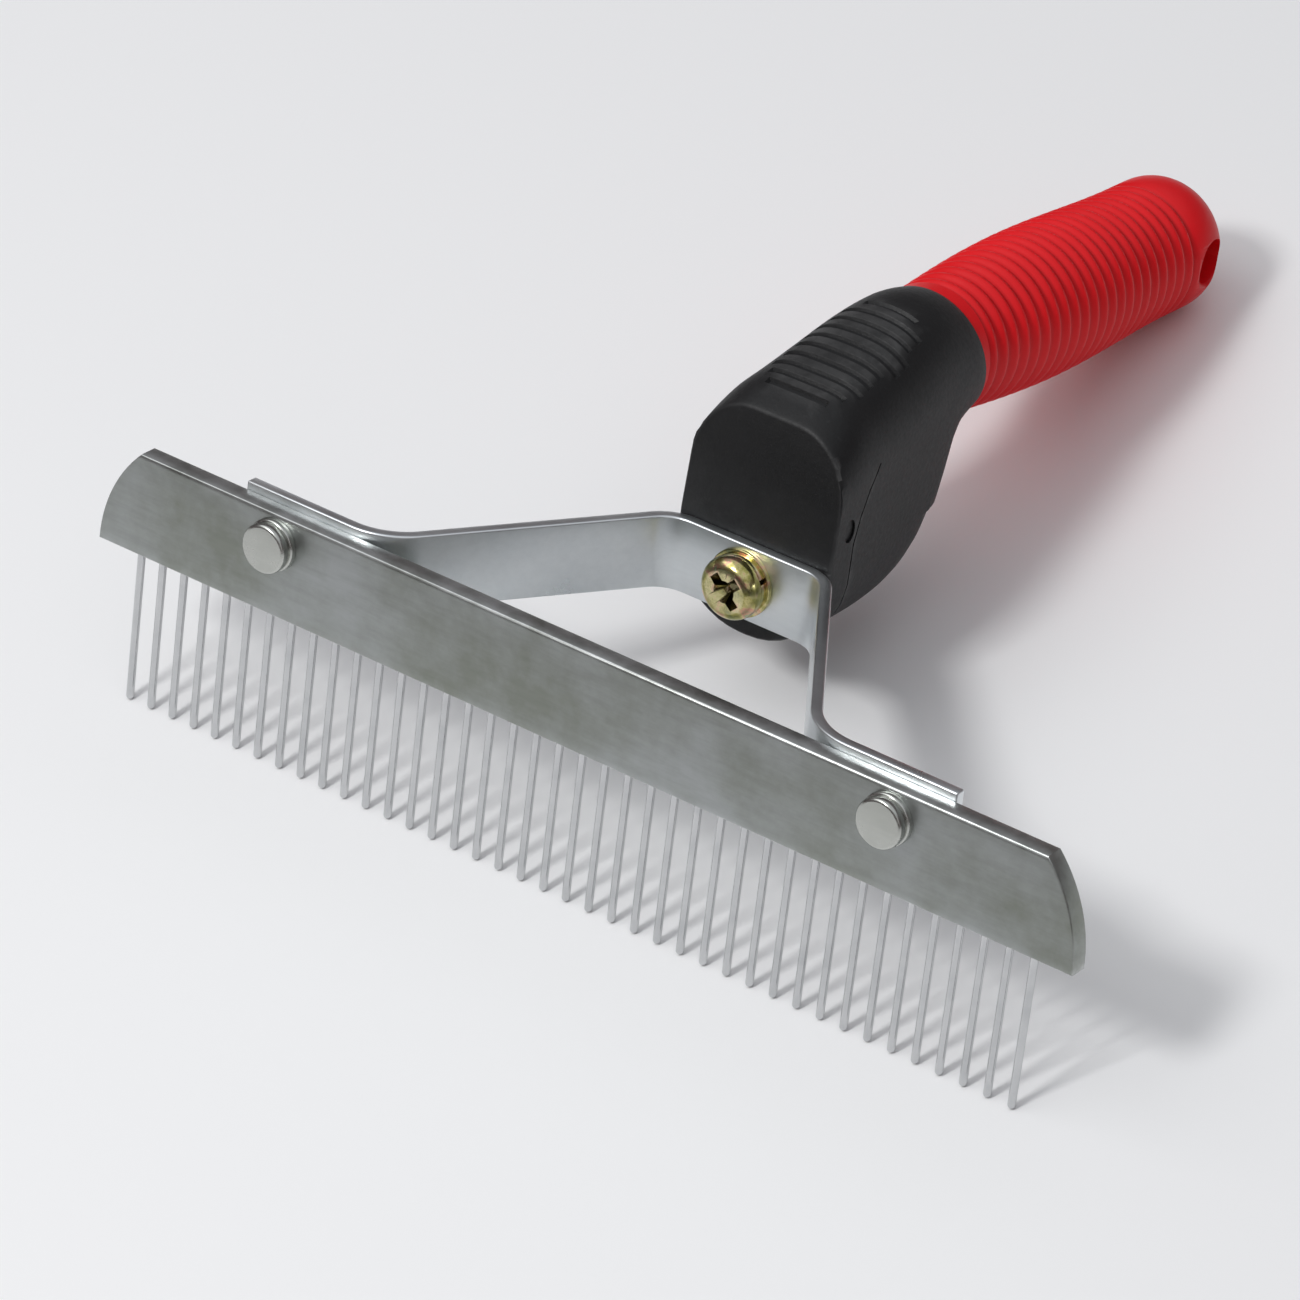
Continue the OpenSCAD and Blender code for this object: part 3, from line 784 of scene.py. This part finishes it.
def make_handle():
    """The block and neck, drawn back from the front face section by section, and the tang inside the grip."""
    block = make_front_face()
    rows = [Section(row) for row in handle_rows()]
    for now, then in zip(rows, rows[1:]):
        extrude_section(now, then)
    along = Vector((0, cos(GRIP_DROP), -sin(GRIP_DROP)))
    bpy.ops.mesh.extrude_region_move(TRANSFORM_OT_translate={"value": (0, 0, 0)})
    bpy.ops.transform.resize(value=(TANG_R / rows[-1].half_width,) * 3, center_override=GRIP_FRONT)
    turn_about_x(-rows[-1].lean - GRIP_DROP, GRIP_FRONT)
    bpy.ops.mesh.extrude_region_move(TRANSFORM_OT_translate={"value": along * TANG_LEN})
    raise_thumb_ridges()
    step_top, step_bottom, step_from, step_scale = 16.6, 16.2, 61, 0.86
    for height in (step_top, step_bottom):
        bpy.ops.mesh.select_all(action="SELECT")
        bpy.ops.mesh.bisect(plane_co=(0, 0, height), plane_no=(0, 0, 1))
    pick("VERT", lambda c: c.z < step_bottom + 0.01 and c.y > step_from)
    bpy.ops.transform.resize(value=(1, step_scale, 1), center_override=(0, step_from, 0))
    close_up()
    lean_front_back(block)
    mark_sides(block)
    settle(block)
    finish_piece(block, BLACK_PLASTIC, ["handle_body"], 50)


def grip_radius(s):
    """The grip's radius over its ribs, at a distance behind its front."""
    if s < GRIP_FULL_AT:
        return GRIP_FRONT_R + (GRIP_FULL_R - GRIP_FRONT_R) * sin(pi / 2 * s / GRIP_FULL_AT)
    t = min((s - GRIP_FULL_AT) / (RIB_END - GRIP_FULL_AT), 1)
    return GRIP_END_R + (GRIP_FULL_R - GRIP_END_R) * (1 + cos(pi * t)) / 2


def grip_outline():
    """Half of the grip's section: collar, round ribs, a blunt round end, and the bore for the tang."""
    points_per_rib = 10
    ribs = []
    for i in range(RIB_COUNT * points_per_rib + 1):
        s = RIB_START + i * RIB_PITCH / points_per_rib
        crest = sin(pi * i / points_per_rib) ** 2
        ribs.append((grip_radius(s) - RIB_DEPTH * (1 - crest), s))
    dome_half = asin((GRIP_END_R - END_ROUND_R) / (END_DOME_R - END_ROUND_R))
    dome_at = GRIP_LEN - (END_DOME_R - END_ROUND_R) * cos(dome_half)
    dome_start = dome_half * 180 / pi
    corner = arc((GRIP_END_R - END_ROUND_R, GRIP_LEN), END_ROUND_R, 0, 90 - dome_start, 12)
    dome = arc((0, dome_at), END_DOME_R, 90 - dome_start, 90, 8)
    collar = [(grip_radius(s), s) for s in (-3.0, -1.5, 0, RIB_START - 0.25)]
    blend = [(GRIP_END_R, RIB_END + 0.7)]
    bore_r = TANG_R + 0.1
    bore = [(0, TANG_LEN + 0.1), (bore_r, TANG_LEN + 0.1), (bore_r, collar[0][1]), collar[0]]
    return collar + ribs[1:] + blend + corner + dome[1:] + bore


def make_grip():
    """The ribbed sleeve, turned, cut at a lean to meet the neck, with its hanging hole."""
    grip = turned("grip_rubber", grip_outline(), 112)
    width, height = 40, 20
    cutter = new_box((width, width, height), (0, 0, -height / 2))
    turn_about_x(GRIP_LEAN + GRIP_DROP, (0, 0, 0))
    bpy.ops.object.mode_set(mode="OBJECT")
    cut_away(grip, cutter)
    flare_from, flare_r = 8.6, 1.3
    flare = [(HOLE_R, 0), (HOLE_R, flare_from), *arc((HOLE_R + flare_r, flare_from), flare_r, 180, 110, 5),
             (6.5, 12), (0, 12)]
    cutter_outline = [(r, -z) for r, z in reversed(flare)] + flare[1:]
    hole = turned("hole_cutter", cutter_outline, 64)
    hole.matrix_world = Matrix.Translation((0, 0, HOLE_AT)) @ Matrix.Rotation(pi / 2, 4, "Y")
    cut_away(grip, hole)
    settle(grip, GRIP_AXIS)
    finish_piece(grip, RED_RUBBER, ["grip_sleeve"], 50)


make_bar()
make_teeth()
make_bracket()
make_rivets()
make_screw()
make_flat_washer()
make_spring_washer()
make_handle()
make_grip()
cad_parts["captive_nut"].data.materials.clear()
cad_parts["captive_nut"].data.materials.append(PLAIN_STEEL)


# The studio

def make_floor():
    """A plain pale table top."""
    bpy.ops.object.select_all(action="DESELECT")
    bpy.ops.mesh.primitive_plane_add(size=8)
    floor = bpy.context.object
    floor.name = "floor"
    material = bpy.data.materials.new("white_table")
    material.use_nodes = True
    shader = material.node_tree.nodes["Principled BSDF"]
    shader.inputs["Base Color"].default_value = (0.90, 0.90, 0.90, 1)
    shader.inputs["Roughness"].default_value = 0.45
    floor.data.materials.append(material)


def add_softbox(name, place, target, size, power, colour=(1, 1, 1)):
    """A square area light at a place in metres, facing a target."""
    light = bpy.data.lights.new(name, "AREA")
    light.shape = "RECTANGLE"
    light.size, light.size_y = size
    light.energy = power
    light.color = colour
    obj = bpy.data.objects.new(name, light)
    bpy.context.scene.collection.objects.link(obj)
    obj.location = place
    obj.rotation_euler = (Vector(target) - Vector(place)).to_track_quat("-Z", "Y").to_euler()


def make_lights():
    """A small key lamp high in front, a wide soft light, a weak fill, and a room dark at the horizon."""
    add_softbox("key_lamp", (-0.26, -0.72, 1.02), (0, -0.03, 0.01), (0.24, 0.24), 6.2)
    add_softbox("top_softbox", (-0.55, -0.30, 1.05), (0, 0, 0.02), (0.9, 0.7), 2.2)
    add_softbox("fill_softbox", (0.9, -0.9, 0.6), (0, 0, 0.02), (0.8, 0.6), 0.5)
    world = bpy.data.worlds.new("studio")
    bpy.context.scene.world = world
    world.use_nodes = True
    nodes, links = world.node_tree.nodes, world.node_tree.links
    height = nodes.new("ShaderNodeSeparateXYZ")
    links.new(nodes.new("ShaderNodeTexCoord").outputs["Generated"], height.inputs["Vector"])
    sky = nodes.new("ShaderNodeValToRGB")
    stops = [(0.0, (0.60, 0.60, 0.60)), (0.02, (0.10, 0.08, 0.08)), (0.50, (0.15, 0.135, 0.14)),
             (0.75, (0.66, 0.68, 0.71))]
    set_stops(sky, stops)
    links.new(height.outputs["Z"], sky.inputs["Fac"])
    links.new(sky.outputs["Color"], nodes["Background"].inputs["Color"])


def make_camera():
    """A long lens, in front of the comb's right end and above it, square to nothing."""
    place = Vector((451.2, -693.9, 461.0))
    forward = Vector((-0.47148, 0.74430, -0.47300)).normalized()
    right = Vector((0.80703, 0.58039, 0.10886)).normalized()
    camera = bpy.data.cameras.new("camera")
    camera.lens = 192.1
    camera.sensor_width = 36
    obj = bpy.data.objects.new("camera", camera)
    bpy.context.scene.collection.objects.link(obj)
    up = right.cross(forward)
    turn = Matrix((right, up, -forward)).transposed().to_4x4()
    world = LAY_DOWN @ Matrix.Translation(place) @ turn
    obj.matrix_world = Matrix.LocRotScale(world.to_translation(), world.to_quaternion(), None)
    bpy.context.scene.camera = obj


make_floor()
make_lights()
make_camera()
bpy.context.scene.view_settings.view_transform = "Standard"
